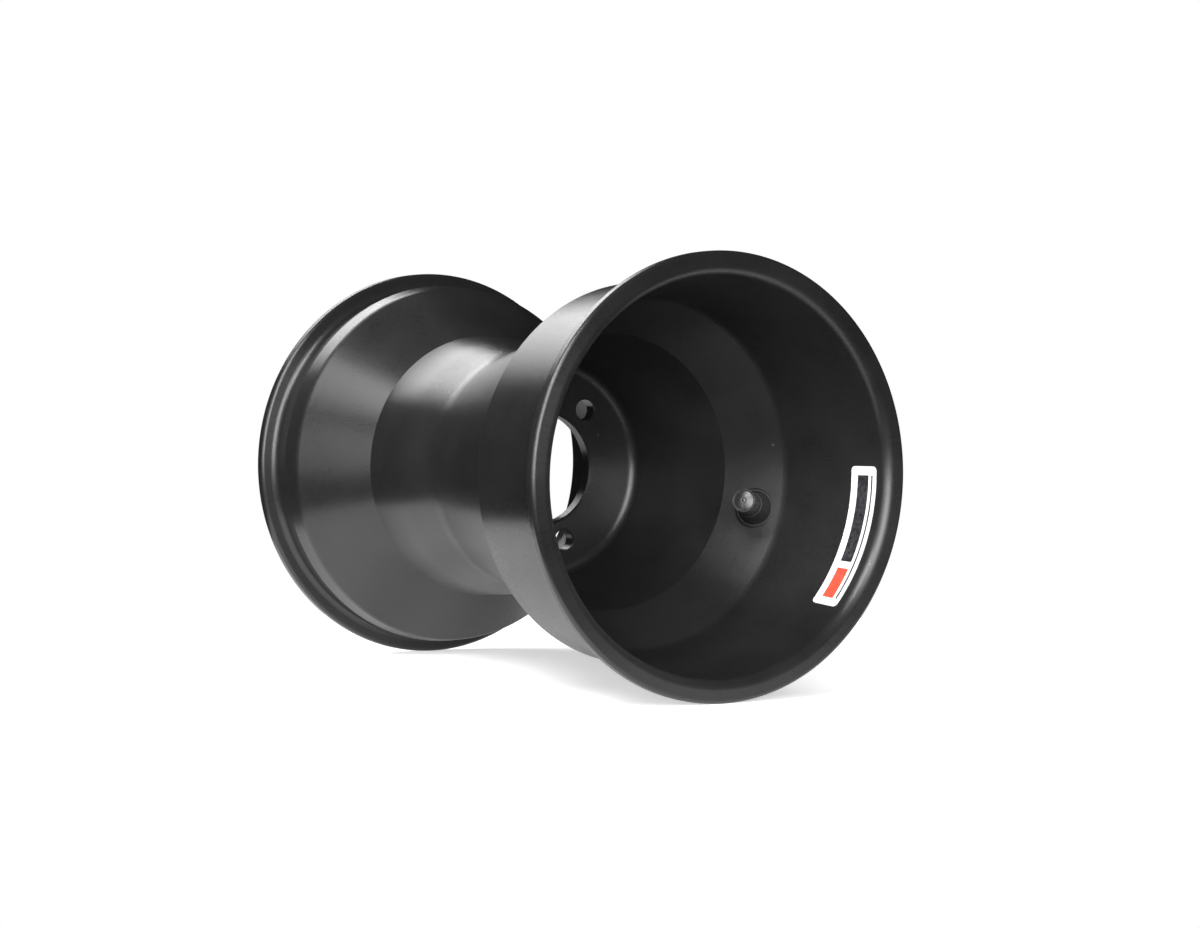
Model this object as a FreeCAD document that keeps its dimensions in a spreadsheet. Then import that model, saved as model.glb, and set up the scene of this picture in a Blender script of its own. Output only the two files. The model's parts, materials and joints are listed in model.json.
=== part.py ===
"""Rear wheel of a racing kart: one turned aluminium rim with its snap-in tyre valve.

Frame: millimetres, origin at the middle of the rim. The rim turns about Y, its outboard
mouth faces -Y and +Z is up. Every piece of the valve is drawn along its own +Z, upright
from the seat on the rim's valve band, and is then laid along the valve's axis.
"""
import FreeCAD, Part
import math
import os

import Sketcher
from FreeCAD import Placement, Rotation, Vector

doc = FreeCAD.newDocument("kart_rear_wheel")

# ---------------------------------------------------------------- driving dimensions

DIMENSIONS = [
    # the rim's two flanges and bead seats
    ("rim_width", 230.5, "overall, face to face"),
    ("flange_radius", 83.7, ""),
    ("flange_thickness", 5.0, ""),
    ("seat_radius", 77.0, "where the tyre's beads sit"),
    ("wall", 5.0, "rim wall, square to its surface"),
    # outboard bowl: distances along the axis from the middle of the rim
    ("outboard_mouth_radius", 75.2, "inner barrel just behind the outboard flange"),
    ("barrel_end_radius", 73.8, "outside of the outboard barrel at its inner end"),
    ("barrel_end_place", 59.0, "outboard of the middle"),
    ("band_top_radius", 68.6, "valve band, outer edge"),
    ("band_foot_radius", 54.6, "valve band, inner edge"),
    ("band_foot_place", 36.0, "outboard of the middle"),
    ("shoulder_radius", 59.3, "outside, behind the valve band's inner edge"),
    ("shoulder_place", 34.2, "outboard of the middle"),
    # hub web
    ("web_face_place", 17.0, "outboard face of the web, inboard of the middle"),
    ("web_thickness", 6.4, ""),
    ("web_front_radius", 44.7, "where the outboard wall meets the web"),
    ("web_back_radius", 45.2, "where the inboard wall meets the web"),
    ("hub_bore_radius", 23.0, ""),
    ("hub_chamfer", 0.8, ""),
    ("bolt_circle", 63.5, "diameter"),
    ("bolt_hole_radius", 4.35, ""),
    ("bolt_count", 3, ""),
    ("bolt_phase", 50, "degrees above +X of the first hole"),
    # waist and inboard bowl, inboard of the middle
    ("waist_radius", 49.4, ""),
    ("waist_place", 19.0, ""),
    ("belly_radius", 53.9, "fullest part of the inboard neck"),
    ("belly_place", 42.0, ""),
    ("ridge_radius", 55.5, "where the neck meets the inboard cone"),
    ("ridge_place", 63.9, ""),
    ("cone_top_radius", 77.1, ""),
    ("cone_top_place", 90.2, ""),
    ("hump_radius", 78.2, "safety hump beside the inboard bead seat"),
    ("hump_place", 98.8, "inboard edge of the hump"),
    ("hump_drop", 1.6, "axial run of the hump's step down to the seat"),
    ("inner_ridge_radius", 50.4, ""),
    ("inner_ridge_place", 66.4, ""),
    ("inner_cone_radius", 73.5, "inboard barrel's bore"),
    ("inner_cone_place", 93.8, ""),
    # rounds
    ("mouth_round", 4.0, "between each flange's face and the bore of its barrel"),
    ("flange_round", 1.5, ""),
    ("root_round", 2.6, "between flange and bead seat"),
    ("soft_round", 9.0, ""),
    ("web_round", 4.0, ""),
    ("crisp_round", 0.5, ""),
    ("waist_round", 24.0, ""),
    ("belly_round", 90.0, ""),
    ("cone_round", 5.0, ""),
    ("hole_chamfer", 0.5, ""),
    # valve seat
    ("valve_clock", 13.4, "degrees below +X"),
    ("valve_lean", 49.0, "degrees between the valve and the wheel's axis"),
    ("valve_seat_radius", 62.4, "where the valve's axis meets the band"),
    ("valve_seat_place", 48.9, "outboard of the middle"),
    ("valve_hole_radius", 5.75, ""),
    # rubber valve body, heights above the seat
    ("collar_radius", 8.2, ""),
    ("collar_height", 1.6, ""),
    ("collar_step", 0.9, "width of the collar's ledge"),
    ("body_foot_radius", 6.9, ""),
    ("body_top_radius", 5.1, ""),
    ("body_top", 11.0, ""),
    ("bulb_radius", 9.3, ""),
    ("bulb_drop", 7.6, "below the seat"),
    ("tail_radius", 6.2, ""),
    ("tail_drop", 13.0, "below the seat"),
    # brass stem
    ("stem_radius", 3.2, "inside the rubber"),
    ("stem_thread_radius", 3.85, "the cap's thread"),
    ("stem_neck", 0.8, "height of the plain neck under the thread"),
    ("stem_top", 19.8, ""),
    ("stem_drop", 13.4, "below the seat"),
    ("stem_chamfer", 0.3, ""),
    ("stem_bore_radius", 2.2, ""),
    ("core_thread_radius", 2.6, ""),
    ("core_thread_foot", 14.4, "height of the thread's lower end"),
    ("core_seat_foot", 12.6, "height of the seal seat's lower end"),
    ("core_seat_radius", 1.95, ""),
    ("core_seat_length", 1.2, ""),
    # valve core
    ("plug_bore_radius", 1.6, ""),
    ("plug_top", 16.6, "top of the plug's threaded ring"),
    ("bridge_top", 17.5, "top of the bridge that guides the pin"),
    ("bridge_width", 1.9, ""),
    ("bridge_bore_radius", 0.62, ""),
    ("barrel_radius", 1.82, ""),
    ("barrel_bore_radius", 1.4, ""),
    ("barrel_foot", 5.6, ""),
    ("barrel_floor", 0.8, ""),
    ("barrel_hole_radius", 0.95, ""),
    ("seal_radius", 2.2, "widest part of the barrel's tapered seal"),
    ("seal_foot", 12.75, ""),
    ("seal_top", 14.3, ""),
    ("pin_radius", 0.55, ""),
    ("pin_top", 19.4, ""),
    ("pin_foot", 3.9, ""),
    ("pin_head_radius", 0.95, ""),
    ("pin_head_height", 0.7, ""),
    ("pin_collar_radius", 1.2, ""),
    ("pin_collar_place", 12.2, "underside of the collar that the spring pushes"),
    ("pin_collar_height", 0.5, ""),
    ("cup_radius", 1.75, ""),
    ("cup_wall", 0.3, ""),
    ("cup_top", 5.3, ""),
    ("cup_foot", 4.2, ""),
    ("cup_seal_top", 5.55, ""),
    ("spring_wire", 0.32, "diameter"),
    ("spring_radius", 1.05, "to the middle of the wire"),
    ("spring_foot", 6.6, "middle of the lowest turn's wire"),
    ("spring_height", 5.4, ""),
    ("spring_pitch", 0.9, ""),
    # dust cap
    ("cap_skirt_foot", 11.3, ""),
    ("cap_skirt_radius", 4.85, ""),
    ("cap_top_radius", 4.6, ""),
    ("cap_top", 21.6, "underside of the rim round the cap's top"),
    ("cap_rim", 0.45, "height and width of that rim"),
    ("cap_crown", 0.55, "height of the domed middle"),
    ("cap_bore_radius", 3.92, "the cap's thread, which the stem's thread fills"),
    ("cap_skirt_bore_radius", 4.15, "plain mouth below the thread"),
    ("cap_thread_foot", 15.04, "six turns of thread below the stem's top"),
    ("cap_roof", 20.8, "inside"),
    ("cap_seal_radius", 3.6, ""),
    ("cap_seal_foot", 19.88, ""),
    # label
    ("label_thickness", 0.25, ""),
    ("label_width", 13.2, "along the wheel's axis"),
    ("label_edge_place", 109.3, "its outboard edge, outboard of the middle"),
    ("label_start", -42.0, "degrees above +X"),
    ("label_sweep", 45.0, "degrees"),
    ("label_corner", 1.8, "radius of its corners"),
]

sheet = doc.addObject("Spreadsheet::Sheet", "Dims")
for row, (alias, value, note) in enumerate(DIMENSIONS, 1):
    sheet.set(f"A{row}", alias)
    sheet.set(f"B{row}", str(value))
    sheet.set(f"C{row}", note)
    sheet.setAlias(f"B{row}", alias)
doc.recompute()


def dim(alias):
    return float(sheet.get(alias))


# ---------------------------------------------------------------- helpers

WHEEL_AXIS = Vector(0, 1, 0)
UPRIGHT = Placement()


def new_body(label):
    body = doc.addObject("PartDesign::Body", label)
    body.Label = label
    return body


def origin_plane(body, role):
    return next(item for item in body.Origin.OriginFeatures if item.Role == role)


def new_sketch(body, name, role, offset=UPRIGHT):
    sketch = body.newObject("Sketcher::SketchObject", name)
    sketch.AttachmentSupport = (origin_plane(body, role), [""])
    sketch.MapMode = "FlatFace"
    sketch.AttachmentOffset = offset
    return sketch


def outline(sketch, corners):
    """Close a straight-sided outline and pin each corner's two places to the sheet."""
    count = len(corners)
    ring = [
        Vector(100 + 50 * math.cos(2 * math.pi * k / count), 50 * math.sin(2 * math.pi * k / count), 0)
        for k in range(count)
    ]
    for k in range(count):
        sketch.addGeometry(Part.LineSegment(ring[k], ring[(k + 1) % count]))
    for k in range(count):
        sketch.addConstraint(Sketcher.Constraint("Coincident", k, 2, (k + 1) % count, 1))
    for k, places in enumerate(corners):
        for kind, place in zip(("DistanceX", "DistanceY"), places):
            number = sketch.addConstraint(Sketcher.Constraint(kind, -1, 1, k, 1, 1.0))
            sketch.setExpression(f"Constraints[{number}]", place)


def circle(sketch, radius, across="0", up="0"):
    """A circle whose radius and centre follow the sheet."""
    number = sketch.addGeometry(Part.Circle(Vector(0, 0, 0), Vector(0, 0, 1), 1.0))
    for kind, value in (("DistanceX", across), ("DistanceY", up)):
        tie = sketch.addConstraint(Sketcher.Constraint(kind, -1, 1, number, 3, 1.0))
        sketch.setExpression(f"Constraints[{tie}]", value)
    tie = sketch.addConstraint(Sketcher.Constraint("Radius", number, 1.0))
    sketch.setExpression(f"Constraints[{tie}]", radius)


def turned(body, name, corners, role="XZ_Plane"):
    """Turn an outline of (radius, height) corners about the sketch's upright axis."""
    sketch = new_sketch(body, f"{name}_outline", role)
    outline(sketch, corners)
    turn = body.newObject("PartDesign::Revolution", f"{name}_turned")
    turn.Profile = (sketch, [""])
    turn.ReferenceAxis = (sketch, ["V_Axis"])
    turn.Angle = 360
    sketch.Visibility = False
    return turn


def ring_edges(feature, rings, axis):
    """Names of the circular edges with these (radius, place along the axis)."""
    names = []
    for number, edge in enumerate(feature.Shape.Edges, 1):
        curve = edge.Curve
        if not isinstance(curve, Part.Circle):
            continue
        for radius, place in rings:
            if abs(curve.Radius - radius) < 0.02 and abs(curve.Center.dot(axis) - place) < 0.02:
                names.append(f"Edge{number}")
    return names


def dress(body, kind, name, base, rings, size, axis=Vector(0, 0, 1)):
    """Round or chamfer the base's ring edges by a size from the sheet."""
    doc.recompute()
    edges = ring_edges(base, rings, axis)
    if len(edges) < len(rings):
        raise RuntimeError(f"{name}: found {len(edges)} of {len(rings)} edges")
    feature = body.newObject(f"PartDesign::{kind}", name)
    feature.Base = (base, edges)
    feature.setExpression("Radius" if kind == "Fillet" else "Size", f"Dims.{size}")
    return feature


def valve_placement():
    """Where the valve's own frame sits on the rim, its +Z pointing into the bowl."""
    clock = math.radians(dim("valve_clock"))
    lean = math.radians(dim("valve_lean"))
    outward = Vector(math.cos(clock), 0, -math.sin(clock))
    seat = outward * dim("valve_seat_radius") - WHEEL_AXIS * dim("valve_seat_place")
    direction = outward * -math.sin(lean) - WHEEL_AXIS * math.cos(lean)
    return Placement(seat, Rotation(Vector(0, 0, 1), direction))


VALVE = valve_placement()


# ---------------------------------------------------------------- rim

def make_rim():
    """One turned piece: two flanged barrels that meet in a thin hub web."""
    body = new_body("rim")
    front = "-Dims.rim_width / 2"
    back = "Dims.rim_width / 2"
    front_root = "Dims.flange_thickness - Dims.rim_width / 2"
    back_root = "Dims.rim_width / 2 - Dims.flange_thickness"
    web_back = "Dims.web_face_place + Dims.web_thickness"
    corners = [
        ("Dims.outboard_mouth_radius", front),
        ("Dims.flange_radius", front),
        ("Dims.flange_radius", front_root),
        ("Dims.seat_radius", front_root),
        ("Dims.barrel_end_radius", "-Dims.barrel_end_place"),
        ("Dims.shoulder_radius", "-Dims.shoulder_place"),
        ("Dims.waist_radius", "Dims.waist_place"),
        ("Dims.belly_radius", "Dims.belly_place"),
        ("Dims.ridge_radius", "Dims.ridge_place"),
        ("Dims.cone_top_radius", "Dims.cone_top_place"),
        ("Dims.hump_radius", "Dims.hump_place"),
        ("Dims.seat_radius", "Dims.hump_place + Dims.hump_drop"),
        ("Dims.seat_radius", back_root),
        ("Dims.flange_radius", back_root),
        ("Dims.flange_radius", back),
        ("Dims.inner_cone_radius", back),
        ("Dims.inner_cone_radius", "Dims.inner_cone_place"),
        ("Dims.inner_ridge_radius", "Dims.inner_ridge_place"),
        ("Dims.web_back_radius", web_back),
        ("Dims.hub_bore_radius", web_back),
        ("Dims.hub_bore_radius", "Dims.web_face_place"),
        ("Dims.web_front_radius", "Dims.web_face_place"),
        ("Dims.band_foot_radius", "-Dims.band_foot_place"),
        ("Dims.band_top_radius", "-Dims.barrel_end_place"),
    ]
    rim = turned(body, "rim", corners, "XY_Plane")

    half = dim("rim_width") / 2
    root = half - dim("flange_thickness")
    web_front = dim("web_face_place")
    web_rear = web_front + dim("web_thickness")
    flange = dim("flange_radius")
    rounds = [
        ("mouth_round", [(dim("outboard_mouth_radius"), -half), (dim("inner_cone_radius"), half)]),
        ("flange_round", [(flange, -half), (flange, -root), (flange, root), (flange, half)]),
        ("root_round", [(dim("seat_radius"), -root), (dim("seat_radius"), root)]),
        ("soft_round", [
            (dim("band_top_radius"), -dim("barrel_end_place")),
            (dim("shoulder_radius"), -dim("shoulder_place")),
            (dim("inner_cone_radius"), dim("inner_cone_place")),
            (dim("inner_ridge_radius"), dim("inner_ridge_place")),
        ]),
        ("web_round", [(dim("web_front_radius"), web_front), (dim("web_back_radius"), web_rear)]),
        ("crisp_round", [
            (dim("band_foot_radius"), -dim("band_foot_place")),
            (dim("barrel_end_radius"), -dim("barrel_end_place")),
            (dim("ridge_radius"), dim("ridge_place")),
        ]),
        ("waist_round", [(dim("waist_radius"), dim("waist_place"))]),
        ("belly_round", [(dim("belly_radius"), dim("belly_place"))]),
        ("cone_round", [(dim("cone_top_radius"), dim("cone_top_place"))]),
    ]
    for size, rings in rounds:
        rim = dress(body, "Fillet", f"rim_{size}", rim, rings, size, WHEEL_AXIS)
    bore = dim("hub_bore_radius")
    rim = dress(body, "Chamfer", "hub_bore_chamfer", rim, [(bore, web_front), (bore, web_rear)],
                "hub_chamfer", WHEEL_AXIS)

    # bolt holes: one pocket through the web, repeated round the wheel's axis
    holes = new_sketch(body, "bolt_hole_outline", "XZ_Plane")
    circle(holes, "Dims.bolt_hole_radius",
           "Dims.bolt_circle / 2 * cos(Dims.bolt_phase * 1deg)",
           "Dims.bolt_circle / 2 * sin(Dims.bolt_phase * 1deg)")
    drill = body.newObject("PartDesign::Pocket", "bolt_hole")
    drill.Profile = (holes, [""])
    drill.Type = "ThroughAll"
    drill.Midplane = True
    pattern = body.newObject("PartDesign::PolarPattern", "bolt_holes")
    pattern.Originals = [drill]
    pattern.Axis = (holes, ["N_Axis"])
    pattern.Angle = 360
    pattern.setExpression("Occurrences", "Dims.bolt_count")
    body.Tip = pattern
    doc.recompute()
    mouths = [
        f"Edge{number}"
        for number, edge in enumerate(pattern.Shape.Edges, 1)
        if isinstance(edge.Curve, Part.Circle)
        and abs(edge.Curve.Radius - dim("bolt_hole_radius")) < 1e-4
    ]
    countersink = body.newObject("PartDesign::Chamfer", "bolt_hole_mouths")
    countersink.Base = (pattern, mouths)
    countersink.setExpression("Size", "Dims.hole_chamfer")

    # valve hole: drilled along the valve's axis through the band alone
    socket = new_sketch(body, "valve_hole_outline", "XY_Plane", VALVE)
    circle(socket, "Dims.valve_hole_radius")
    bore_hole = body.newObject("PartDesign::Pocket", "valve_hole")
    bore_hole.Profile = (socket, [""])
    bore_hole.Midplane = True
    bore_hole.setExpression("Length", "Dims.wall * 4")
    body.Tip = bore_hole
    return body


# ---------------------------------------------------------------- label

def make_label():
    """A thin printed label stuck to the bore of the outboard barrel."""
    body = new_body("rim_label")
    # the barrel's bore narrows from its mouth to the valve band
    taper = ("(Dims.outboard_mouth_radius - Dims.band_top_radius)"
             " / (Dims.rim_width / 2 - Dims.barrel_end_place)")
    edges = []
    for place in ("Dims.label_edge_place", "(Dims.label_edge_place - Dims.label_width)"):
        bore = f"Dims.outboard_mouth_radius - {taper} * (Dims.rim_width / 2 - {place})"
        edges.append((bore, f"-{place}"))
    (outer_mouth, mouth), (outer_end, end) = edges
    sketch = new_sketch(body, "rim_label_outline", "XY_Plane")
    outline(sketch, [
        (outer_mouth, mouth),
        (outer_end, end),
        (f"{outer_end} - Dims.label_thickness", end),
        (f"{outer_mouth} - Dims.label_thickness", mouth),
    ])
    turn = body.newObject("PartDesign::Revolution", "rim_label_turned")
    turn.Profile = (sketch, [""])
    turn.ReferenceAxis = (sketch, ["V_Axis"])
    turn.setExpression("Angle", "Dims.label_sweep")
    doc.recompute()
    ends = []
    for number, edge in enumerate(turn.Shape.Edges, 1):
        if edge.Length < 2 * dim("label_thickness"):
            ends.append(f"Edge{number}")
    corners = body.newObject("PartDesign::Fillet", "rim_label_corners")
    corners.Base = (turn, ends)
    corners.setExpression("Radius", "Dims.label_corner")
    body.Placement = Placement(Vector(), Rotation(WHEEL_AXIS, -dim("label_start") - dim("label_sweep")))
    return body


# ---------------------------------------------------------------- valve, outside in

def make_valve_body(rim):
    """Snap-in rubber: a collar in the bowl, a neck in the rim's hole, a bulb behind it."""
    blank = new_body("valve_blank")
    collar_foot = "-Dims.wall / 2"
    turned(blank, "valve_blank", [
        ("Dims.stem_radius", "Dims.body_top"),
        ("Dims.body_top_radius", "Dims.body_top"),
        ("Dims.body_foot_radius", "Dims.collar_height"),
        ("Dims.collar_radius - Dims.collar_step", "Dims.collar_height"),
        ("Dims.collar_radius", "Dims.collar_height - Dims.collar_step"),
        ("Dims.collar_radius", collar_foot),
        ("Dims.bulb_radius", collar_foot),
        ("Dims.bulb_radius", "-Dims.bulb_drop"),
        ("Dims.tail_radius", "-Dims.tail_drop"),
        ("Dims.stem_radius", "-Dims.tail_drop"),
    ])
    blank.Placement = VALVE
    valve_body = doc.addObject("Part::Cut", "valve_body")
    valve_body.Base = blank
    valve_body.Tool = rim
    valve_body.Label = "valve_body"
    return valve_body


def make_valve_stem():
    """Brass tube bonded in the rubber, threaded outside for the cap and inside for the core."""
    body = new_body("valve_stem")
    stem = turned(body, "valve_stem", [
        ("Dims.stem_radius", "-Dims.stem_drop"),
        ("Dims.stem_radius", "Dims.body_top + Dims.stem_neck"),
        ("Dims.stem_thread_radius", "Dims.body_top + Dims.stem_neck"),
        ("Dims.stem_thread_radius", "Dims.stem_top"),
        ("Dims.core_thread_radius", "Dims.stem_top"),
        ("Dims.core_thread_radius", "Dims.core_thread_foot"),
        ("Dims.core_seat_radius", "Dims.core_seat_foot"),
        ("Dims.core_seat_radius", "Dims.core_seat_foot - Dims.core_seat_length"),
        ("Dims.stem_bore_radius", "Dims.core_seat_foot - 2 * Dims.core_seat_length"),
        ("Dims.stem_bore_radius", "-Dims.stem_drop"),
    ])
    rings = [(dim("stem_thread_radius"), dim("stem_top")), (dim("core_thread_radius"), dim("stem_top"))]
    dress(body, "Chamfer", "stem_mouth", stem, rings, "stem_chamfer")
    body.Placement = VALVE
    return body


def make_core_plug():
    """The core's threaded plug, with the slotted bridge that a key turns and the pin runs in."""
    body = new_body("core_plug")
    turned(body, "core_plug", [
        ("Dims.plug_bore_radius", "Dims.core_thread_foot"),
        ("Dims.core_thread_radius", "Dims.core_thread_foot"),
        ("Dims.core_thread_radius", "Dims.plug_top"),
        ("Dims.plug_bore_radius", "Dims.plug_top"),
    ])
    across = "Dims.core_thread_radius * 0.96"
    half_width = "Dims.bridge_width / 2"
    flat = new_sketch(body, "bridge_outline", "XY_Plane")
    outline(flat, [
        (f"-{across} * 0.9", f"-{half_width}"),
        (f"{across} * 0.9", f"-{half_width}"),
        (f"{across} * 0.9", half_width),
        (f"-{across} * 0.9", half_width),
    ])
    circle(flat, "Dims.bridge_bore_radius")
    flat.setExpression("AttachmentOffset.Base.z", "Dims.plug_top - 0.4")
    bridge = body.newObject("PartDesign::Pad", "bridge")
    bridge.Profile = (flat, [""])
    bridge.setExpression("Length", "Dims.bridge_top - Dims.plug_top + 0.4")
    body.Tip = bridge
    body.Placement = VALVE
    return body


def make_core_barrel():
    """Open tube below the plug, with a floor that carries the spring."""
    body = new_body("core_barrel")
    turned(body, "core_barrel", [
        ("Dims.barrel_hole_radius", "Dims.barrel_foot"),
        ("Dims.barrel_radius", "Dims.barrel_foot"),
        ("Dims.barrel_radius", "Dims.core_thread_foot"),
        ("Dims.barrel_bore_radius", "Dims.core_thread_foot"),
        ("Dims.barrel_bore_radius", "Dims.barrel_foot + Dims.barrel_floor"),
        ("Dims.barrel_hole_radius", "Dims.barrel_foot + Dims.barrel_floor"),
    ])
    body.Placement = VALVE
    return body


def make_ring(label, corners):
    """A plain turned piece of the valve."""
    body = new_body(label)
    turned(body, label, corners)
    body.Placement = VALVE
    return body


def make_core_pin():
    """The pin: a head to press, a shaft, and a collar that the spring pushes up."""
    collar_top = "Dims.pin_collar_place + Dims.pin_collar_height"
    head_foot = "Dims.pin_top - Dims.pin_head_height"
    return make_ring("core_pin", [
        ("0", "Dims.pin_foot"),
        ("Dims.pin_radius", "Dims.pin_foot"),
        ("Dims.pin_radius", "Dims.pin_collar_place"),
        ("Dims.pin_collar_radius", "Dims.pin_collar_place"),
        ("Dims.pin_collar_radius", collar_top),
        ("Dims.pin_radius", collar_top),
        ("Dims.pin_radius", head_foot),
        ("Dims.pin_head_radius", head_foot),
        ("Dims.pin_head_radius", "Dims.pin_top - Dims.pin_head_height / 2"),
        ("Dims.pin_radius", "Dims.pin_top"),
        ("0", "Dims.pin_top"),
    ])


def make_core_spring():
    """Coil of round wire between the barrel's floor and the pin's collar."""
    coil = doc.addObject("Part::Helix", "spring_line")
    coil.setExpression("Pitch", "Dims.spring_pitch")
    coil.setExpression("Height", "Dims.spring_height")
    coil.setExpression("Radius", "Dims.spring_radius")
    wire = doc.addObject("Part::Circle", "spring_wire")
    wire.setExpression("Radius", "Dims.spring_wire / 2")
    wire.Placement = Placement(Vector(dim("spring_radius"), 0, 0), Rotation(Vector(1, 0, 0), 90))
    doc.recompute()
    spring = doc.addObject("Part::Sweep", "core_spring")
    spring.Sections = [wire]
    spring.Spine = (coil, [f"Edge{number}" for number in range(1, len(coil.Shape.Edges) + 1)])
    spring.Solid = True
    spring.Frenet = True
    spring.Label = "core_spring"
    spring.Placement = VALVE * Placement(Vector(0, 0, dim("spring_foot")), Rotation())
    return spring


def make_cap_shell():
    """Moulded dust cap: a skirt that screws down the stem, a raised rim and a low crown."""
    body = new_body("cap_shell")
    crown_foot = "Dims.cap_top_radius - Dims.cap_rim * 1.6"
    turned(body, "cap_shell", [
        ("Dims.cap_skirt_bore_radius", "Dims.cap_skirt_foot"),
        ("Dims.cap_skirt_radius", "Dims.cap_skirt_foot"),
        ("Dims.cap_skirt_radius", "Dims.cap_skirt_foot + Dims.cap_rim * 2"),
        ("Dims.cap_top_radius", "Dims.cap_skirt_foot + Dims.cap_rim * 3"),
        ("Dims.cap_top_radius", "Dims.cap_top + Dims.cap_rim"),
        ("Dims.cap_top_radius - Dims.cap_rim", "Dims.cap_top + Dims.cap_rim"),
        (crown_foot, "Dims.cap_top"),
        (f"({crown_foot}) * 0.55", "Dims.cap_top + Dims.cap_crown * 0.8"),
        ("0", "Dims.cap_top + Dims.cap_crown"),
        ("0", "Dims.cap_roof"),
        ("Dims.cap_bore_radius", "Dims.cap_roof"),
        ("Dims.cap_bore_radius", "Dims.cap_thread_foot"),
        ("Dims.cap_skirt_bore_radius", "Dims.cap_thread_foot"),
    ])
    body.Placement = VALVE
    return body


def make_parts():
    rim = make_rim()
    return [
        rim,
        make_label(),
        make_valve_body(rim),
        make_valve_stem(),
        make_core_plug(),
        make_core_barrel(),
        make_ring("core_barrel_seal", [
            ("Dims.barrel_radius", "Dims.seal_foot"),
            ("Dims.core_seat_radius", "Dims.seal_foot"),
            ("Dims.seal_radius", "Dims.seal_top - Dims.seal_radius / 8"),
            ("Dims.seal_radius", "Dims.seal_top"),
            ("Dims.barrel_radius", "Dims.seal_top"),
        ]),
        make_core_pin(),
        make_ring("core_cup", [
            ("Dims.pin_radius", "Dims.cup_foot"),
            ("Dims.cup_radius", "Dims.cup_foot"),
            ("Dims.cup_radius", "Dims.cup_top"),
            ("Dims.cup_radius - Dims.cup_wall", "Dims.cup_top"),
            ("Dims.cup_radius - Dims.cup_wall", "Dims.cup_foot + Dims.cup_wall"),
            ("Dims.pin_radius", "Dims.cup_foot + Dims.cup_wall"),
        ]),
        make_ring("core_cup_seal", [
            ("Dims.pin_radius", "Dims.cup_foot + Dims.cup_wall"),
            ("Dims.cup_radius - Dims.cup_wall", "Dims.cup_foot + Dims.cup_wall"),
            ("Dims.cup_radius - Dims.cup_wall", "Dims.cup_seal_top"),
            ("Dims.pin_radius", "Dims.cup_seal_top"),
        ]),
        make_core_spring(),
        make_cap_shell(),
        make_ring("cap_seal", [
            ("0", "Dims.cap_seal_foot"),
            ("Dims.cap_seal_radius", "Dims.cap_seal_foot"),
            ("Dims.cap_seal_radius", "Dims.cap_roof"),
            ("0", "Dims.cap_roof"),
        ]),
    ]


def check(parts):
    """Stop on any failed object, and on any piece that isn't one sound solid."""
    doc.recompute()
    for item in doc.Objects:
        if {"Invalid", "Error"} & set(item.State):
            raise RuntimeError(f"{item.Name} failed: {item.State}")
    for part in parts:
        shape = part.Shape
        if shape.isNull() or not shape.isValid() or len(shape.Solids) != 1:
            raise RuntimeError(f"{part.Label} isn't one sound solid")
        print(f"{part.Label}: {shape.Volume:.2f} mm3")


parts = make_parts()
check(parts)
os.makedirs("parts", exist_ok=True)
for part in parts:
    part.Shape.exportStep(f"parts/{part.Label}.step")
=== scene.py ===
"""Looks of the kart wheel: turned black rim, printed label, snap-in tyre valve, white studio.

The frame is in metres: the wheel turns about Y, its outboard mouth faces -Y and +Z is up.
Outlines are in millimetres, and heights along the valve start at its seat on the rim.
"""
import json
import math

import bpy
from mathutils import Matrix, Vector
from mathutils.geometry import tessellate_polygon


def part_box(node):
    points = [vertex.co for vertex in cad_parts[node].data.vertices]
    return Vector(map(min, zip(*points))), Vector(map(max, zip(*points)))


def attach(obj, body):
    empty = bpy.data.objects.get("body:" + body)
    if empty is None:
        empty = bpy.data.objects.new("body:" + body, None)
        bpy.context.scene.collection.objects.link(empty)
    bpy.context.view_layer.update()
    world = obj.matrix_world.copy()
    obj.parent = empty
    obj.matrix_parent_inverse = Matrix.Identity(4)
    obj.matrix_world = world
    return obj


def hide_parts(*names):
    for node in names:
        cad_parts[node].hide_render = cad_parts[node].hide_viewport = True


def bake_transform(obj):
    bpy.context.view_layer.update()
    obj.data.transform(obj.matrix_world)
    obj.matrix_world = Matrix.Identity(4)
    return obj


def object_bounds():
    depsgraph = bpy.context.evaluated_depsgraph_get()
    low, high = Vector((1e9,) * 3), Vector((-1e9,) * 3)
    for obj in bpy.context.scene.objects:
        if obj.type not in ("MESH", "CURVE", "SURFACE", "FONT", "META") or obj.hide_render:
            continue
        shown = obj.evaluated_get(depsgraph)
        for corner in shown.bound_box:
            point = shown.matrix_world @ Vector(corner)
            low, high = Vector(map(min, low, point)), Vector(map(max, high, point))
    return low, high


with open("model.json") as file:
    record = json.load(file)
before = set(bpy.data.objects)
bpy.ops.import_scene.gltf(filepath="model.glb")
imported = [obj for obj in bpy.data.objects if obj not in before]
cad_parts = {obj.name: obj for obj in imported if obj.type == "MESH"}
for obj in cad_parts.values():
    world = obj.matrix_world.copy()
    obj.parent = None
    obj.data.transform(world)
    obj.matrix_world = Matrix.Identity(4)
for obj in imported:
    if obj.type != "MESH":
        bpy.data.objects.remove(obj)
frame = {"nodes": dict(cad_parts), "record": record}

CAD_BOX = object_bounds()
MM = 0.001
NODES = frame["nodes"]
MOUNTS = {mount["name"]: mount for mount in frame["record"]["mounts"]}

STEM_TOP = 19.8  # height of the stem's mouth, where the record's valve mount lies
VALVE_UP = Vector(MOUNTS["valve_cap_thread"]["axis"]).normalized()
VALVE_SEAT = Vector(MOUNTS["valve_cap_thread"]["pos_m"]) - VALVE_UP * (STEM_TOP * MM)
VALVE = Matrix.Translation(VALVE_SEAT) @ VALVE_UP.to_track_quat("Z", "Y").to_matrix().to_4x4()

WHITE = (1.0, 1.0, 1.0, 1.0)


# ---------------------------------------------------------------- material helpers

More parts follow.
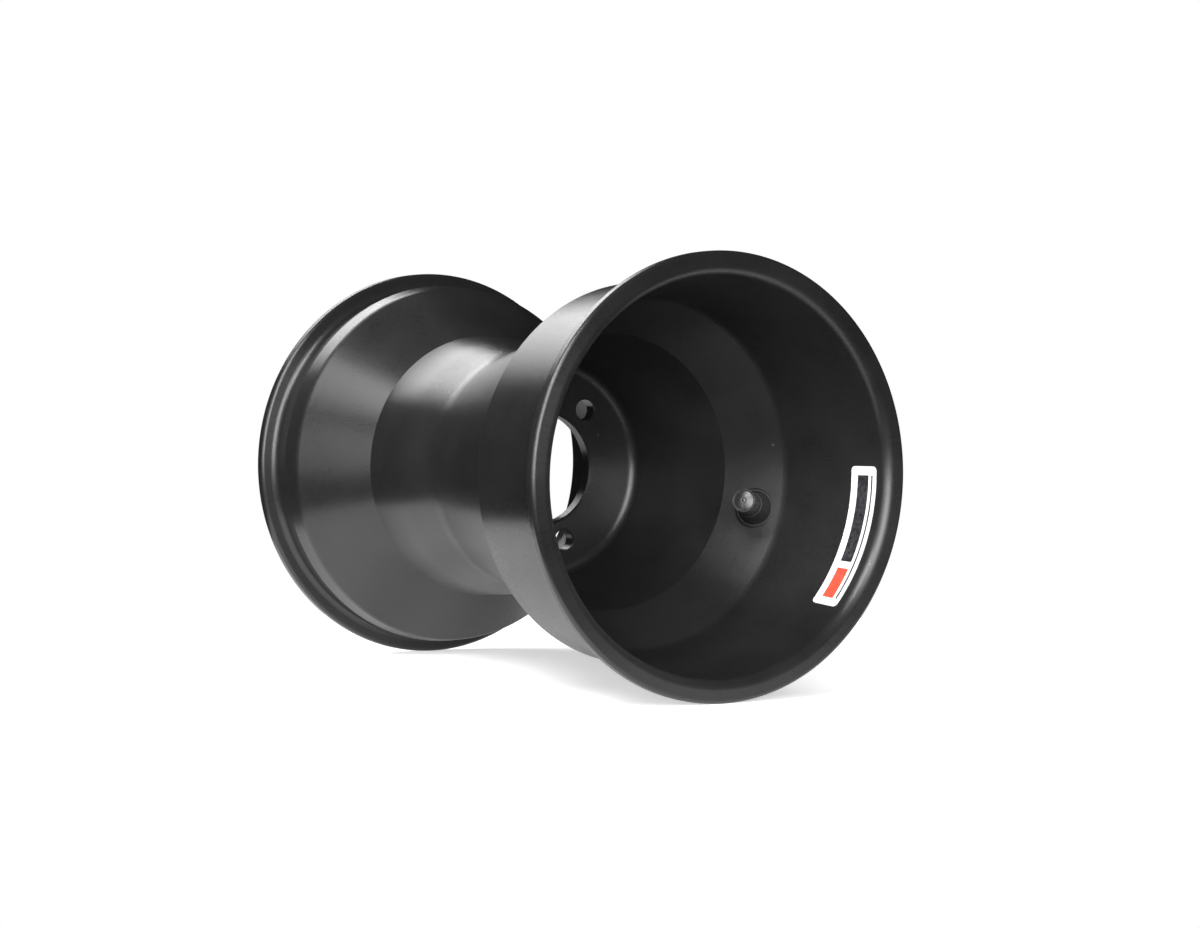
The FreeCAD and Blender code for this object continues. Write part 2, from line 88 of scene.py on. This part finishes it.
class Nodes:
    """A new material's node tree, with short calls for the nodes used here."""

    def __init__(self, name):
        self.material = bpy.data.materials.new(name)
        self.material.use_nodes = True
        self.tree = self.material.node_tree
        self.shader = self.tree.nodes["Principled BSDF"]

    def add(self, kind, **settings):
        node = self.tree.nodes.new(kind)
        for key, value in settings.items():
            setattr(node, key, value)
        return node

    def link(self, source, target):
        """Feed an input from a node's output, or set it to a constant."""
        if hasattr(source, "is_output"):
            self.tree.links.new(source, target)
        else:
            target.default_value = source

    def set(self, **values):
        """Constants on the shader's own sockets, with _ for a space in a socket's name."""
        for key, value in values.items():
            self.shader.inputs[key.replace("_", " ").title()].default_value = value

    def math(self, operation, *values):
        node = self.add("ShaderNodeMath", operation=operation)
        for socket, value in zip(node.inputs, values):
            self.link(value, socket)
        return node.outputs[0]

    def place(self):
        return self.add("ShaderNodeTexCoord").outputs["Object"]

    def parts(self, vector):
        """The X, Y and Z outputs of a vector."""
        node = self.add("ShaderNodeSeparateXYZ")
        self.link(vector, node.inputs[0])
        return node.outputs

    def vector(self, *values):
        node = self.add("ShaderNodeCombineXYZ")
        for socket, value in zip(node.inputs, values):
            self.link(value, socket)
        return node.outputs[0]

    def noise(self, vector, scale, detail=2.0, roughness=0.5):
        node = self.add("ShaderNodeTexNoise")
        self.link(vector, node.inputs["Vector"])
        self.link(scale, node.inputs["Scale"])
        self.link(detail, node.inputs["Detail"])
        self.link(roughness, node.inputs["Roughness"])
        return node.outputs["Fac"]

    def spread(self, value, low, high, start=0.3, end=0.7):
        """Map a noise from start..end to low..high."""
        node = self.add("ShaderNodeMapRange")
        for socket, number in zip(node.inputs, (value, start, end, low, high)):
            self.link(number, socket)
        return node.outputs[0]

    def within(self, value, low, high):
        """1 where a value lies between two limits, 0 elsewhere."""
        above = self.math("GREATER_THAN", value, low)
        return self.math("MULTIPLY", above, self.math("LESS_THAN", value, high))

    def grey(self, value):
        node = self.add("ShaderNodeCombineColor")
        for socket in node.inputs[:3]:
            self.link(value, socket)
        return node.outputs[0]

    def mix(self, factor, a, b):
        node = self.add("ShaderNodeMix", data_type="RGBA")
        self.link(factor, node.inputs["Factor"])
        self.link(a, node.inputs[6])
        self.link(b, node.inputs[7])
        return node.outputs[2]

    def bump(self, height, strength, distance):
        node = self.add("ShaderNodeBump")
        self.link(height, node.inputs["Height"])
        self.link(strength, node.inputs["Strength"])
        self.link(distance, node.inputs["Distance"])
        self.link(node.outputs[0], self.shader.inputs["Normal"])

    def colour(self, value):
        self.link(value, self.shader.inputs["Base Color"])

    def roughness(self, value):
        self.link(value, self.shader.inputs["Roughness"])


# ---------------------------------------------------------------- materials

def turned_black():
    """Satin black coating over turned aluminium: gloss is stretched across the fine turning lines."""
    mat = Nodes("rim_black_coat")
    place = mat.place()
    x, y, z = mat.parts(place)
    radius = mat.math("SQRT", mat.math("ADD", mat.math("POWER", x, 2.0), mat.math("POWER", z, 2.0)))

    # turning lines: noise that only changes across the lathe's path
    lines = mat.noise(mat.vector(radius, y), 2600.0, 1.0)
    # faint strokes across the lathe's path, left by rubbing down before the coating
    spoke = mat.vector(mat.math("DIVIDE", x, radius), mat.math("DIVIDE", z, radius),
                       mat.math("MULTIPLY", y, 6.0))
    strokes = mat.noise(spoke, 95.0, 2.0, 0.6)
    # cloudiness and grain of the coating, with a few specks of dust
    clouds = mat.noise(place, 26.0, 3.0, 0.6)
    grain = mat.noise(place, 2600.0, 2.0, 0.6)
    dust = mat.add("ShaderNodeTexVoronoi")
    mat.link(place, dust.inputs["Vector"])
    mat.link(62.0, dust.inputs["Scale"])
    speck = mat.math("LESS_THAN", dust.outputs["Distance"], 0.022)

    coat = mat.grey(mat.spread(clouds, 0.009, 0.014))
    mat.colour(mat.mix(mat.math("MULTIPLY", speck, 0.35), coat, (0.2, 0.2, 0.2, 1.0)))
    rough = mat.math("ADD", mat.spread(clouds, 0.3, 0.35), mat.spread(grain, -0.05, 0.05))
    mat.roughness(mat.math("ADD", rough, mat.spread(strokes, -0.025, 0.025)))
    height = mat.math("ADD", mat.math("MULTIPLY", grain, 0.6), mat.math("MULTIPLY", lines, 0.3))
    height = mat.math("ADD", height, mat.math("MULTIPLY", strokes, 0.5))
    mat.bump(height, 0.35, 0.03 * MM)
    tangent = mat.add("ShaderNodeTangent", direction_type="RADIAL", axis="Y")
    mat.link(tangent.outputs[0], mat.shader.inputs["Tangent"])
    mat.set(anisotropic=0.75, anisotropic_rotation=0.25)
    return mat.material


def moulded_rubber(name, grey, roughness):
    """Matt black rubber with a faint bloom and the mould's fine skin."""
    mat = Nodes(name)
    place = mat.place()
    skin = mat.noise(place, 5200.0, 2.0)
    bloom = mat.noise(place, 420.0, 3.0, 0.6)
    mat.colour(mat.grey(mat.spread(bloom, grey * 0.8, grey * 1.35)))
    mat.roughness(mat.spread(bloom, roughness - 0.06, roughness + 0.06))
    mat.bump(skin, 0.35, 0.03 * MM)
    return mat.material


def cap_plastic():
    """Glossy black plastic with flow marks and light scuffs."""
    mat = Nodes("cap_gloss_plastic")
    place = mat.place()
    flow = mat.noise(place, 900.0, 2.0)
    scuffs = mat.noise(place, 3000.0, 4.0, 0.7)
    mat.colour(mat.grey(mat.spread(flow, 0.012, 0.02)))
    mat.roughness(mat.spread(scuffs, 0.2, 0.32))
    mat.bump(flow, 0.15, 0.04 * MM)
    return mat.material


def machined_metal(name, colour, roughness):
    """Bright machined metal with fine tool marks and some tarnish."""
    mat = Nodes(name)
    place = mat.place()
    tarnish = mat.noise(place, 700.0, 3.0, 0.6)
    marks = mat.noise(place, 9000.0, 1.0)
    dull = tuple(part * 0.72 for part in colour[:3]) + (1.0,)
    mat.colour(mat.mix(mat.spread(tarnish, 0.0, 1.0, 0.35, 0.75), colour, dull))
    mat.roughness(mat.spread(tarnish, roughness - 0.05, roughness + 0.1))
    mat.bump(marks, 0.3, 0.01 * MM)
    mat.set(metallic=1.0)
    return mat.material


def printed_vinyl():
    """White vinyl with a black band and line and a red block, along the label's curve."""
    start, sweep = math.radians(-3), math.radians(45)
    low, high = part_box("rim_label")
    mat = Nodes("label_vinyl_print")
    place = mat.place()
    x, y, z = mat.parts(place)
    across = mat.math("DIVIDE", mat.math("SUBTRACT", y, low.y), high.y - low.y)
    angle = mat.math("ARCTAN2", mat.math("MULTIPLY", z, -1.0), x)
    along = mat.math("DIVIDE", mat.math("SUBTRACT", angle, start), sweep)

    band = mat.math("MULTIPLY", mat.within(across, 0.3, 0.74), mat.within(along, 0.06, 0.66))
    line = mat.math("MULTIPLY", mat.within(across, 0.13, 0.19), mat.within(along, 0.06, 0.94))
    block = mat.math("MULTIPLY", mat.within(across, 0.3, 0.74), mat.within(along, 0.71, 0.94))
    black, red, vinyl = (0.01, 0.01, 0.012, 1.0), (0.7, 0.06, 0.025, 1.0), (0.8, 0.81, 0.83, 1.0)
    ink = mat.mix(block, mat.mix(mat.math("MAXIMUM", band, line), vinyl, black), red)
    fibres = mat.noise(place, 700.0, 3.0)
    mat.colour(mat.mix(mat.spread(fibres, 0.0, 0.06), ink, (0.7, 0.71, 0.74, 1.0)))
    mat.roughness(mat.spread(fibres, 0.28, 0.38))
    mat.bump(fibres, 0.1, 0.03 * MM)
    return mat.material


def dress_nodes():
    """Give every CAD node its material, and return the materials by slot."""
    looks = {
        "rim_black": turned_black(),
        "label_vinyl": printed_vinyl(),
        "valve_rubber": moulded_rubber("valve_rubber", 0.014, 0.55),
        "brass": machined_metal("brass_machined", (0.62, 0.46, 0.2, 1.0), 0.3),
        "steel": machined_metal("steel_drawn", (0.55, 0.55, 0.56, 1.0), 0.28),
        "spring_steel": machined_metal("spring_wire", (0.5, 0.5, 0.52, 1.0), 0.25),
        "seal_rubber": moulded_rubber("seal_rubber", 0.02, 0.7),
        "cap_plastic": cap_plastic(),
    }
    for part in frame["record"]["subparts"]:
        for slot in NODES[part["node"]].material_slots:
            slot.material = looks[part["material_slot"]]
    return looks


# ---------------------------------------------------------------- pieces and their outlines

def add(name, data):
    obj = bpy.data.objects.new(name, data)
    bpy.context.scene.collection.objects.link(obj)
    return obj


def smooth_mesh(name, verts, faces, material):
    mesh = bpy.data.meshes.new(name)
    mesh.from_pydata(verts, [], faces)
    mesh.materials.append(material)
    mesh.shade_smooth()
    return mesh


def stand_in(obj, node, body="wheel"):
    """Show a piece instead of a CAD node."""
    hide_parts(node)
    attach(obj, body)


def corner_arc(back, here, ahead, size):
    """Centre, start and end of the arc that rounds a corner, within half of each side."""
    back, ahead = back - here, ahead - here
    half = back.angle(ahead) / 2
    run = min(size / math.tan(half), 0.49 * back.length, 0.49 * ahead.length)
    back.normalize()
    ahead.normalize()
    centre = here + (back + ahead).normalized() * (run / math.cos(half))
    return centre, here + back * run, here + ahead * run


def rounded(corners, steps=6):
    """Points of an outline of (radius, height, round) corners, with the corners rounded."""
    spots = [Vector(corner[:2]) for corner in corners]
    points = []
    for k, (here, (_, _, size)) in enumerate(zip(spots, corners)):
        if not size:
            points.append(here)
            continue
        centre, start, end = corner_arc(spots[k - 1], here, spots[k + 1], size)
        for step in range(steps + 1):
            spoke = (start - centre).lerp(end - centre, step / steps)
            points.append(centre + spoke.normalized() * (start - centre).length)
    return points


def filled(points, spacing):
    """An outline up to its last point, with points added about a spacing apart."""
    dense = []
    for a, b in zip(points, points[1:]):
        count = max(1, round((b - a).length / spacing))
        dense += [a.lerp(b, k / count) for k in range(count)]
    return dense


# ---------------------------------------------------------------- rim

RIM_OUTLINE = [
    # web's inboard face, inboard bowl and lip
    (30.0, 23.4, 0), (45.2, 23.4, 4.0), (50.4, 66.4, 9.0), (73.5, 93.8, 9.0), (73.5, 115.25, 4.0),
    (83.7, 115.25, 1.5), (83.7, 110.25, 1.5), (77.0, 110.25, 2.6), (77.0, 100.4, 0.4),
    # hump, cone, neck, waist and outboard barrel
    (78.2, 98.8, 0.5), (77.1, 90.2, 5.0), (55.5, 63.9, 0.5), (53.9, 42.0, 90.0), (49.4, 19.0, 24.0),
    (59.3, -34.2, 9.0), (73.8, -59.0, 0.5), (77.0, -110.25, 2.6), (83.7, -110.25, 1.5),
    # outboard lip and bowl
    (83.7, -115.25, 1.5), (75.2, -115.25, 4.0), (68.6, -59.0, 9.0), (54.6, -36.0, 0.5),
    (44.7, 17.0, 4.0), (30.0, 17.0, 0),
]
WEB_FRONT, WEB_BACK, WEB_EDGE = 17.0, 23.4, 40.4  # the web is flat within its edge's radius
BORE, BORE_MOUTH = 23.0, 23.8
BOLT_CIRCLE, BOLT_RADIUS, BOLT_MOUTH, BOLT_PHASE = 31.75, 4.35, 4.85, math.radians(50)
RIM_SEGMENTS, BOLT_SEGMENTS = 320, 64
VALVE_GAP, VALVE_GAP_REACH = 7.2, 12.0  # radius and half height of the opening that the rubber hides


def left_of(start, end):
    """The unit normal on the left of the way from one point to another."""
    return Vector((start.y - end.y, end.x - start.x)).normalized()


def straight(start, end, longest):
    """Points inside a straight run, each with the run's normal."""
    count = max(1, math.ceil((end - start).length / longest))
    normal = left_of(start, end)
    return [(start.lerp(end, k / count), normal) for k in range(1, count)]


def smooth_path(corners, longest=2.0):
    """(point, outward normal) pairs along a rounded outline, between its first and last corner."""
    spots = [Vector(corner[:2]) for corner in corners]
    path, last = [], spots[0]
    for k in range(1, len(corners) - 1):
        centre, start, end = corner_arc(*spots[k - 1:k + 2], corners[k][2])
        path += straight(last, start, longest)
        spoke = start - centre
        outward = 1 if spoke.dot(left_of(spots[k - 1], spots[k])) > 0 else -1
        sweep = spoke.angle_signed(end - centre)
        steps = max(4, math.ceil(abs(sweep) / math.radians(4)))
        for step in range(steps + 1):
            turned = Matrix.Rotation(-sweep * step / steps, 2) @ spoke
            path.append((centre + turned, turned.normalized() * outward))
        last = end
    return path + straight(last, spots[-1], longest)


class Shell:
    """Vertices, faces and exact normals of the rim, gathered surface by surface."""

    def __init__(self):
        self.verts, self.faces, self.normals = [], [], []

    def strip(self, path, segments, centre=(0.0, 0.0)):
        """Turn (point, normal) pairs about a line along the wheel's axis."""
        base = len(self.verts)
        for (r, y), (nr, ny) in path:
            for k in range(segments):
                c, s = math.cos(math.tau * k / segments), math.sin(math.tau * k / segments)
                self.verts.append(((centre[0] + r * c) * MM, y * MM, (centre[1] - r * s) * MM))
                self.normals.append((nr * c, ny, -nr * s))
        for i in range(len(path) - 1):
            for k in range(segments):
                a, b = base + i * segments + k, base + i * segments + (k + 1) % segments
                self.faces.append((a, a + segments, b + segments, b))

    def flat(self, y, rings, side):
        """A flat face across the axis between its outer ring and the holes in it."""
        base, loops = len(self.verts), []
        for (x, z), r, segments in rings:
            turns = [math.tau * k / segments for k in range(segments)]
            loops.append([Vector((x + r * math.cos(a), z - r * math.sin(a), 0.0)) for a in turns])
            for spot in loops[-1]:
                self.verts.append((spot.x * MM, y * MM, spot.y * MM))
                self.normals.append((0.0, side, 0.0))
        for face in tessellate_polygon(loops):
            a, b, c = (Vector(self.verts[base + k]) for k in face)
            faces_out = (b - a).cross(c - a).y * side > 0
            self.faces.append([base + k for k in (face if faces_out else face[::-1])])

    def bore(self, centre, radius, mouth, segments):
        """The wall of a hole through the web, chamfered at both ends."""
        cut = mouth - radius
        spots = [Vector((mouth, WEB_FRONT)), Vector((radius, WEB_FRONT + cut)),
                 Vector((radius, WEB_BACK - cut)), Vector((mouth, WEB_BACK))]
        for start, end in zip(spots, spots[1:]):
            normal = left_of(start, end)
            self.strip([(start, normal), (end, normal)], segments, centre)

    def faces_clear_of_valve(self):
        """The faces that aren't inside the rubber filling the valve hole."""
        away = VALVE.inverted()
        inside = []
        for vert in self.verts:
            spot = away @ Vector(vert)
            inside.append(math.hypot(spot.x, spot.y) < VALVE_GAP * MM
                          and abs(spot.z) < VALVE_GAP_REACH * MM)
        return [face for face in self.faces if not all(inside[k] for k in face)]


def make_rim(material):
    """The turned rim with exact normals: its wall, the web's faces, the bore and the bolt holes."""
    shell = Shell()
    wall = [(point, normal) for point, normal in smooth_path(RIM_OUTLINE)
            if not (abs(normal.y) > 0.999 and point.x < WEB_EDGE)]
    shell.strip(wall, RIM_SEGMENTS)
    holes = [((0.0, 0.0), BORE, BORE_MOUTH, RIM_SEGMENTS)]
    for k in range(3):
        angle = BOLT_PHASE + k * math.tau / 3
        centre = (BOLT_CIRCLE * math.cos(angle), BOLT_CIRCLE * math.sin(angle))
        holes.append((centre, BOLT_RADIUS, BOLT_MOUTH, BOLT_SEGMENTS))
    mouths = [(centre, mouth, segments) for centre, _, mouth, segments in holes]
    for side, y, edge in ((1, WEB_BACK, wall[0][0].x), (-1, WEB_FRONT, wall[-1][0].x)):
        shell.flat(y, [((0.0, 0.0), edge, RIM_SEGMENTS)] + mouths, side)
    for hole in holes:
        shell.bore(*hole)

    mesh = smooth_mesh("rim_turned", shell.verts, shell.faces_clear_of_valve(), material)
    mesh.normals_split_custom_set_from_vertices(shell.normals)
    stand_in(add("rim_turned", mesh), "rim")


# ---------------------------------------------------------------- valve pieces

PITCH = 0.79375  # 32 threads to the inch
THREAD_FOOT, THREAD_TOP, THREAD_DEPTH = 11.8, 19.7, 0.42
CAP_LEDGE = 15.04  # height where the cap's wide mouth meets its threaded bore
CROWN_RADIUS, CROWN_FOOT, CROWN_RISE, CROWN_RINGS = 3.7, 21.62, 0.46, 32


def spun(name, points, material, segments=128, shape=None):
    """Turn an outline about the valve's axis; shape(r, z, angle) may move each point's radius."""
    verts, rings = [], []
    for r, z in points:
        if r < 1e-6:
            rings.append([len(verts)] * segments)
            verts.append((0.0, 0.0, z * MM))
            continue
        rings.append(list(range(len(verts), len(verts) + segments)))
        for k in range(segments):
            angle = math.tau * k / segments
            size = shape(r, z, angle) if shape else r
            verts.append((size * MM * math.cos(angle), size * MM * math.sin(angle), z * MM))
    faces = []
    for low, high in zip(rings, rings[1:]):
        for k in range(segments):
            loop = [low[k], low[(k + 1) % segments], high[(k + 1) % segments], high[k]]
            loop = list(dict.fromkeys(loop))
            if len(loop) > 2:
                faces.append(loop)
    mesh = smooth_mesh(name, verts, faces, material)
    mesh.validate()
    obj = add(name, mesh)
    obj.matrix_world = VALVE
    return obj


def local_angle(direction):
    """Angle round the valve's axis at which a direction of the wheel's frame lies."""
    flat = VALVE.to_3x3().inverted() @ Vector(direction)
    return math.atan2(flat.y, flat.x)


def near(angle, middle, width):
    """1 at an angle, falling smoothly to 0 at a width either side."""
    gap = abs((angle - middle + math.pi) % math.tau - math.pi)
    return 0.5 + 0.5 * math.cos(math.pi * gap / width) if gap < width else 0.0


def make_valve_rubber(material):
    """Collar with its ledge and parting line, then the fluted bulb behind the rim."""
    marks = [local_angle((0.85, -0.5, -0.45)), local_angle((-0.85, 0.5, 0.45))]

    def shape(r, z, angle):
        if 1.9 < z < 10.7:
            fade = min(1.0, (z - 1.9) / 0.8, (10.7 - z) / 0.8)
            return r + fade * sum(0.1 * near(angle, mark, 0.045) for mark in marks)
        if -12.5 < z < -8.2:
            return r + 0.12 * (0.5 + 0.5 * math.cos(8 * angle)) * min(1.0, z + 12.5, -8.2 - z)
        return r

    outline = rounded([
        (3.2, 11.0, 0), (5.1, 11.0, 0.5), (5.45, 9.0, 4.0), (6.5, 2.6, 2.0), (7.0, 1.42, 0.8),
        (7.28, 1.52, 0.12), (7.5, 1.36, 0.15), (8.2, 0.6, 0.45), (8.2, -2.5, 0),
        (9.3, -2.5, 0), (9.3, -7.6, 1.6), (6.2, -13.0, 0.7), (3.2, -13.0, 0)])
    points = filled(outline, 0.5) + [outline[-1]]
    stand_in(spun("valve_rubber", points, material, 288, shape), "valve_body")


def make_stem(material):
    """Brass tube with the cap's thread cut outside and a plain, counterbored mouth."""

    def shape(r, z, angle):
        if r > 3.5 and z > THREAD_FOOT:
            turn = (z / PITCH - angle / math.tau) % 1.0
            crest = min(1.0, max(0.0, 1.5 - 4.0 * abs(turn - 0.5)))
            fade = min(1.0, (z - THREAD_FOOT) / 0.5, max(0.0, THREAD_TOP - z) / 0.3)
            return r - THREAD_DEPTH * fade * (1.0 - crest)
        return r

    shank = rounded([(2.2, -13.4, 0), (3.2, -13.4, 0.2), (3.2, 11.8, 0.1), (3.8, 11.85, 0)])
    thread = [Vector((3.85, 11.9 + 0.066 * k)) for k in range(116)]  # a dozen rows to a turn
    mouth = rounded([
        (3.85, 19.56, 0), (3.55, STEM_TOP, 0.08), (2.9, STEM_TOP, 0.08), (2.6, 19.5, 0.1),
        (2.6, 14.4, 0), (1.95, 12.6, 0.1), (1.95, 11.4, 0.1), (2.2, 10.2, 0), (2.2, -13.4, 0)])
    stem = spun("valve_stem_brass", shank + thread + mouth, material, 96, shape)
    stand_in(stem, "valve_stem")


def make_cap(material):
    """Dust cap: a bead at the skirt's foot, shallow ribs, a thin raised rim and a glossy crown."""

    def shape(r, z, angle):
        if r > 4.5 and 13.1 < z < 21.1:
            fade = min(1.0, (z - 13.1) / 0.5, (21.1 - z) / 0.5)
            return r - fade * 0.07 * (0.5 + 0.5 * math.cos(30 * angle))
        return r

    inside = rounded([(0, 20.8, 0), (3.92, 20.8, 0.1), (3.92, CAP_LEDGE, 0), (4.15, CAP_LEDGE, 0)])
    outside = rounded([
        (4.15, CAP_LEDGE, 0), (4.15, 11.3, 0.12), (4.85, 11.3, 0.22), (4.85, 12.2, 0.2),
        (4.6, 12.65, 0.15), (4.6, 22.05, 0.2), (4.22, 22.05, 0.16), (3.95, 21.55, 0.2),
        (CROWN_RADIUS, CROWN_FOOT, 0)])
    crown = []
    for k in range(1, CROWN_RINGS + 1):
        r = CROWN_RADIUS * (1 - k / CROWN_RINGS)
        dome = CROWN_RISE * (1 - (r / CROWN_RADIUS) ** 2)
        gate = 0.07 * math.exp(-(r / 0.3) ** 2) - 0.07 * math.exp(-((r - 0.75) / 0.22) ** 2)
        crown.append(Vector((r, CROWN_FOOT + dome + gate)))
    cap = spun("valve_cap", inside[:-1] + filled(outside, 0.4) + crown, material, 240, shape)
    stand_in(cap, "cap_shell", "cap")


def make_spring(material):
    """Coil of round wire, shown in place of the core's spring."""
    foot, pitch, turns, coil, wire = 6.6, 0.9, 6, 1.05, 0.16
    per_turn, around = 24, 10
    top, steps = foot + pitch * turns, per_turn * turns
    verts, faces = [], []
    for i in range(steps + 1):
        turn = math.tau * i / per_turn
        centre = Vector((coil * math.cos(turn), coil * math.sin(turn), foot + pitch * i / per_turn))
        out = Vector((math.cos(turn), math.sin(turn), 0))
        slope = Vector((-math.sin(turn), math.cos(turn), pitch / (math.tau * coil))).normalized()
        up = slope.cross(out)
        for j in range(around):
            a = math.tau * j / around
            verts.append(VALVE @ ((centre + (out * math.cos(a) + up * math.sin(a)) * wire) * MM))
    for i in range(steps):
        for j in range(around):
            a, b = i * around + j, i * around + (j + 1) % around
            faces.append((a, b, b + around, a + around))
    faces += [tuple(range(around)), tuple(range(steps * around, (steps + 1) * around))]
    obj = add("core_spring_wire", smooth_mesh("core_spring_wire", verts, faces, material))
    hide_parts("core_spring")
    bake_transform(obj)


# ---------------------------------------------------------------- studio

CAMERA_PLACE = Vector((-0.5378, -0.8776, 0.0239))
CAMERA_LOOK = Vector((0.5344, 0.8450, -0.0209))
CAMERA_ROLL = math.radians(0.76)
LENS, SENSOR = 75.85, 36.0  # millimetres
TABLE_X, TABLE_Y, TABLE_RADIUS, TABLE_SIDES = 0.06, 0.04, 0.27, 96


def aim(obj, place, look, roll=0.0):
    """Stand an object at a place, looking along a direction."""
    turn = look.to_track_quat("-Z", "Y").to_matrix().to_4x4()
    obj.matrix_world = Matrix.Translation(place) @ turn @ Matrix.Rotation(roll, 4, "Z")


def make_camera():
    data = bpy.data.cameras.new("photo_camera")
    data.sensor_width = SENSOR
    data.lens = LENS
    data.clip_start = 0.01
    camera = add("photo_camera", data)
    aim(camera, CAMERA_PLACE, CAMERA_LOOK, CAMERA_ROLL)
    bpy.context.scene.camera = camera


def softbox(name, azimuth, elevation, distance, width, height, power):
    """A rectangular light round the wheel; azimuth 0 is +Y and 90 is +X."""
    a, e = math.radians(azimuth), math.radians(elevation)
    place = distance * Vector((math.cos(e) * math.sin(a), math.cos(e) * math.cos(a), math.sin(e)))
    data = bpy.data.lights.new(name, "AREA")
    data.shape = "RECTANGLE"
    data.size, data.size_y = width, height
    data.energy = power
    aim(add(name, data), place, -place)


def make_table():
    """A round white table that glows a little, so that it melts into the white behind it."""
    turns = [math.tau * k / TABLE_SIDES for k in range(TABLE_SIDES)]
    ring = [(TABLE_X + TABLE_RADIUS * math.cos(a), TABLE_Y + TABLE_RADIUS * math.sin(a), CAD_BOX[0].z)
            for a in turns]
    mesh = bpy.data.meshes.new("studio_table")
    mesh.from_pydata(ring, [], [tuple(range(TABLE_SIDES))])
    mat = Nodes("table_white")
    mat.colour(mat.grey(mat.spread(mat.noise(mat.place(), 900.0, 2.0), 0.88, 0.92)))
    mat.set(roughness=0.9, emission_color=WHITE, emission_strength=0.55)
    mesh.materials.append(mat.material)
    add("studio_table", mesh)


def make_world():
    """White behind the table, seen by the camera and lighting nothing, like a far backdrop."""
    world = bpy.data.worlds.new("studio_white")
    world.use_nodes = True
    background = world.node_tree.nodes["Background"]
    background.inputs["Color"].default_value = WHITE
    background.inputs["Strength"].default_value = 1.0
    world.cycles_visibility.diffuse = False
    world.cycles_visibility.glossy = False
    bpy.context.scene.world = world


# ---------------------------------------------------------------- build

looks = dress_nodes()
make_rim(looks["rim_black"])
make_valve_rubber(looks["valve_rubber"])
make_stem(looks["brass"])
make_cap(looks["cap_plastic"])
make_spring(looks["spring_steel"])
make_camera()
make_table()
make_world()
softbox("front", 207, 12, 1.5, 1.2, 0.75, 34.0)
softbox("left_high", 232, 40, 1.4, 0.7, 0.55, 20.0)
softbox("left_strip", 244, 6, 1.4, 0.3, 0.6, 4.0)
softbox("back_high", 352, 44, 1.4, 0.95, 0.7, 18.0)
bpy.context.scene.view_settings.view_transform = "Standard"
